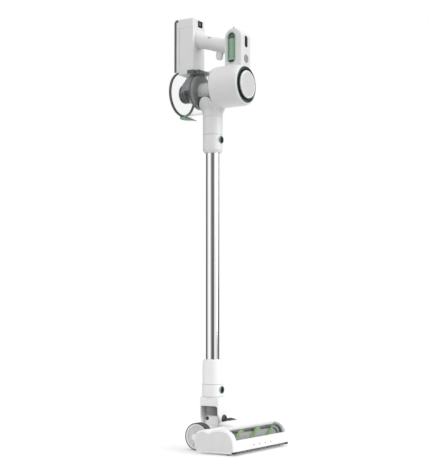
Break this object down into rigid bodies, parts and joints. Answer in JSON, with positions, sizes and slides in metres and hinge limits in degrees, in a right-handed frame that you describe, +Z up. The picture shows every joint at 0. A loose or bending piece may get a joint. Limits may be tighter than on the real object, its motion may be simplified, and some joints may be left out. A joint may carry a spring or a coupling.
{
  "type": "cordless stick vacuum cleaner",
  "caption": "Cordless stick vacuum with a powered floor head, tilting and swivelling neck, bare metal wand and handheld unit with clear dust cup and battery column.",
  "frame": {"origin": "centre of the bounding box in X and Y, on the floor", "axes": "+Z up along the wand, front of the floor head towards -Y, X across the floor head"},
  "size_m": [0.262, 0.241, 1.0735],
  "materials": {
    "white_abs": "satin",
    "light_grey": "satin",
    "mid_grey": "satin",
    "dark_grey": "satin",
    "hose": "satin",
    "rubber": "matte",
    "tyre": "matte",
    "sage": "gloss",
    "gloss_black": "gloss",
    "deep_green": "gloss",
    "clear": "gloss",
    "smoke": "gloss",
    "bright_metal": "polished",
    "steel": "satin",
    "bristle": "matte",
    "filter": "matte",
    "cells": "satin"
  },
  "bodies": {
    "floor_head": {"head_base": "white_abs", "head_cover": "white_abs", "brush_window": "clear", "end_plate_left": "light_grey", "end_plate_right": "light_grey", "front_bumper": "dark_grey", "lamp_bar": "light_grey", "brush_motor": "steel", "drive_belt": "rubber"},
    "roller": {"brush_core": "mid_grey", "brush_strip_1": "bristle", "brush_strip_2": "bristle", "brush_strip_3": "bristle", "brush_strip_4": "bristle", "brush_pulley": "dark_grey"},
    "motor_pulley": {"motor_pulley": "dark_grey"},
    "wheel_left": {"wheel_hub_left": "light_grey", "wheel_tyre_left": "tyre"},
    "wheel_right": {"wheel_hub_right": "light_grey", "wheel_tyre_right": "tyre"},
    "castor_left": {"front_castor_left": "tyre"},
    "castor_right": {"front_castor_right": "tyre"},
    "knuckle": {"knuckle": "white_abs", "pivot_cap": "gloss_black"},
    "fork": {"swivel_fork": "white_abs", "flex_hose": "hose", "wand_socket": "white_abs"},
    "lower_button": {"lower_release_button": "deep_green"},
    "wand": {"wand_lower_collar": "white_abs", "wand_tube": "bright_metal", "wand_upper_collar": "white_abs"},
    "upper_button": {"upper_release_button": "deep_green"},
    "handheld": {"neck_funnel": "white_abs", "motor_housing": "white_abs", "front_housing": "white_abs", "handle_grip": "white_abs", "fan_motor": "steel", "pre_filter": "filter", "exhaust_ring": "deep_green", "side_window_left": "sage", "side_window_right": "sage", "status_lens": "gloss_black", "column_shell": "white_abs", "column_cap": "white_abs", "column_back": "dark_grey", "battery_cells": "cells", "display_panel": "gloss_black", "dust_cup": "clear", "cyclone_drum": "smoke", "cyclone_core": "smoke", "cup_bracket": "dark_grey"},
    "impeller": {"impeller": "mid_grey"},
    "exhaust": {"exhaust_cap": "white_abs", "exhaust_filter": "filter"},
    "mode_button": {"mode_button": "mid_grey"},
    "trigger": {"trigger": "white_abs"},
    "thumb_button": {"thumb_button": "white_abs"},
    "lid": {"lid_rim": "dark_grey", "lid_window": "clear"},
    "latch": {"lid_latch": "sage"}
  },
  "joints": [
    {"name": "roller_spin", "type": "hinge", "parent": "floor_head", "child": "roller", "pos_m": [0, -0.0835, 0.027], "axis": [1, 0, 0], "continuous": true},
    {"name": "motor_pulley_spin", "type": "hinge", "parent": "floor_head", "child": "motor_pulley", "pos_m": [0.1185, -0.0465, 0.024], "axis": [1, 0, 0], "continuous": true},
    {"name": "wheel_left_spin", "type": "hinge", "parent": "floor_head", "child": "wheel_left", "pos_m": [-0.069, 0.017, 0.03272], "axis": [1, 0, 0], "continuous": true},
    {"name": "wheel_right_spin", "type": "hinge", "parent": "floor_head", "child": "wheel_right", "pos_m": [0.069, 0.017, 0.03272], "axis": [1, 0, 0], "continuous": true},
    {"name": "castor_left_spin", "type": "hinge", "parent": "floor_head", "child": "castor_left", "pos_m": [-0.1185, -0.0985, 0.005], "axis": [1, 0, 0], "continuous": true},
    {"name": "castor_right_spin", "type": "hinge", "parent": "floor_head", "child": "castor_right", "pos_m": [0.1185, -0.0985, 0.005], "axis": [1, 0, 0], "continuous": true},
    {"name": "neck_tilt", "type": "hinge", "parent": "floor_head", "child": "knuckle", "pos_m": [0, 0.017, 0.03272], "axis": [-1, 0, 0], "range_deg": [0, 70]},
    {"name": "neck_roll", "type": "hinge", "parent": "knuckle", "child": "fork", "pos_m": [0, 0.0215, 0.07], "axis": [0, 1, 0], "range_deg": [-45, 45], "deforming": ["flex_hose"]},
    {"name": "lower_button_press", "type": "slide", "parent": "fork", "child": "lower_button", "axis": [0, 1, 0], "range_m": [0, 0.0018], "stiffness_N_per_m": 400, "springref_m": -0.002},
    {"name": "wand_pull", "type": "slide", "parent": "fork", "child": "wand", "axis": [0, 0, 1], "range_m": [0, 0.06]},
    {"name": "upper_button_press", "type": "slide", "parent": "wand", "child": "upper_button", "axis": [0, 1, 0], "range_m": [0, 0.0015], "stiffness_N_per_m": 400, "springref_m": -0.002},
    {"name": "handheld_pull", "type": "slide", "parent": "wand", "child": "handheld", "axis": [0, 0, 1], "range_m": [0, 0.07]},
    {"name": "impeller_spin", "type": "hinge", "parent": "handheld", "child": "impeller", "pos_m": [0, -0.0115, 0.8925], "axis": [0, 1, 0], "continuous": true},
    {"name": "exhaust_twist", "type": "hinge", "parent": "handheld", "child": "exhaust", "pos_m": [0, -0.0735, 0.8925], "axis": [0, -1, 0], "range_deg": [0, 30]},
    {"name": "mode_press", "type": "slide", "parent": "handheld", "child": "mode_button", "axis": [0, 1, 0], "range_m": [0, 0.0012], "stiffness_N_per_m": 400, "springref_m": -0.002},
    {"name": "trigger_pull", "type": "hinge", "parent": "handheld", "child": "trigger", "pos_m": [0, -0.0095, 0.9875], "axis": [1, 0, 0], "range_deg": [0, 12], "stiffness_Nm_per_rad": 0.2, "springref_deg": -8.59},
    {"name": "thumb_press", "type": "slide", "parent": "handheld", "child": "thumb_button", "axis": [0.766, 0.1847, -0.6157], "range_m": [0, 0.001], "stiffness_N_per_m": 400, "springref_m": -0.002},
    {"name": "lid_open", "type": "hinge", "parent": "handheld", "child": "lid", "pos_m": [0, 0.1173, 0.9465], "axis": [1, 0, 0], "range_deg": [0, 90]},
    {"name": "latch_press", "type": "hinge", "parent": "handheld", "child": "latch", "pos_m": [0, 0.0955, 0.824], "axis": [-1, 0, 0], "range_deg": [0, 8], "stiffness_Nm_per_rad": 0.1, "springref_deg": -5.73}
  ],
  "couplings": [
    {"joint": "motor_pulley_spin", "follows": "roller_spin", "ratio": 2.16}
  ]
}
